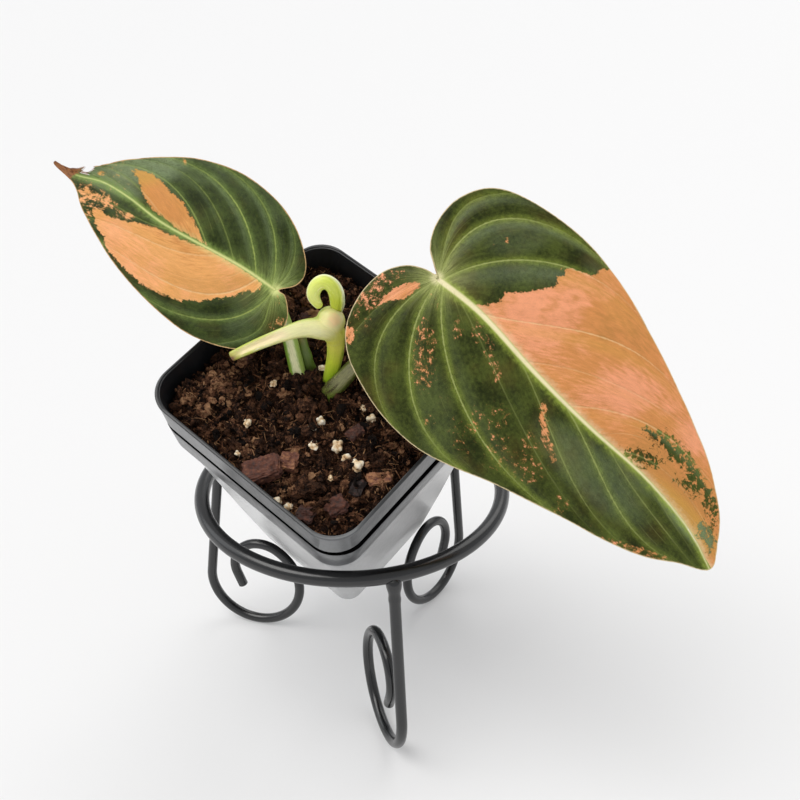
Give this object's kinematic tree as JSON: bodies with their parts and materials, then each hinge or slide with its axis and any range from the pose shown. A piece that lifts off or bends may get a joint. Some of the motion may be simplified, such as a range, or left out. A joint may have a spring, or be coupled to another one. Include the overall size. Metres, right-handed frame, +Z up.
{
  "type": "philodendron melanochrysum",
  "caption": "Variegated philodendron melanochrysum in a square nursery pot that leans in a black wire ring stand with scroll legs.",
  "frame": {"origin": "middle of the floor side of the bounding box, on the floor under the stand", "axes": "+Z up, -Y towards the side the pot leans to, +X towards the larger leaf"},
  "size_m": [0.2226, 0.1484, 0.2185],
  "materials": {
    "black_powder_coat": "satin",
    "pot_plastic": "gloss",
    "potting_mix": "rough, damp peat and bark fines",
    "bark": "rough",
    "perlite": "matt, porous",
    "stem_green": "satin",
    "petiole_green": "satin",
    "shoot_lime": "satin",
    "left_leaf": "velvety sheen",
    "right_leaf": "velvety sheen"
  },
  "bodies": {
    "root": {"bark_chip_01": "bark", "bark_chip_02": "bark", "bark_chip_03": "bark", "bark_chip_04": "bark", "bark_chip_05": "bark", "bark_chip_06": "bark", "bark_chip_07": "bark", "bark_chip_08": "bark", "bark_chip_09": "bark", "bark_chip_10": "bark", "cataphyll": "shoot_lime", "left_leaf": "left_leaf", "left_petiole": "petiole_green", "new_leaf": "shoot_lime", "nursery_pot": "pot_plastic", "old_cataphyll": "petiole_green", "perlite_01": "perlite", "perlite_02": "perlite", "perlite_03": "perlite", "perlite_04": "perlite", "perlite_05": "perlite", "perlite_06": "perlite", "perlite_07": "perlite", "perlite_08": "perlite", "perlite_09": "perlite", "perlite_10": "perlite", "perlite_11": "perlite", "perlite_12": "perlite", "perlite_13": "perlite", "perlite_14": "perlite", "perlite_15": "perlite", "perlite_16": "perlite", "potting_mix": "potting_mix", "right_leaf": "right_leaf", "right_petiole": "petiole_green", "stand_leg_front": "black_powder_coat", "stand_leg_left": "black_powder_coat", "stand_leg_right": "black_powder_coat", "stand_ring": "black_powder_coat", "stem": "stem_green"}
  },
  "joints": []
}
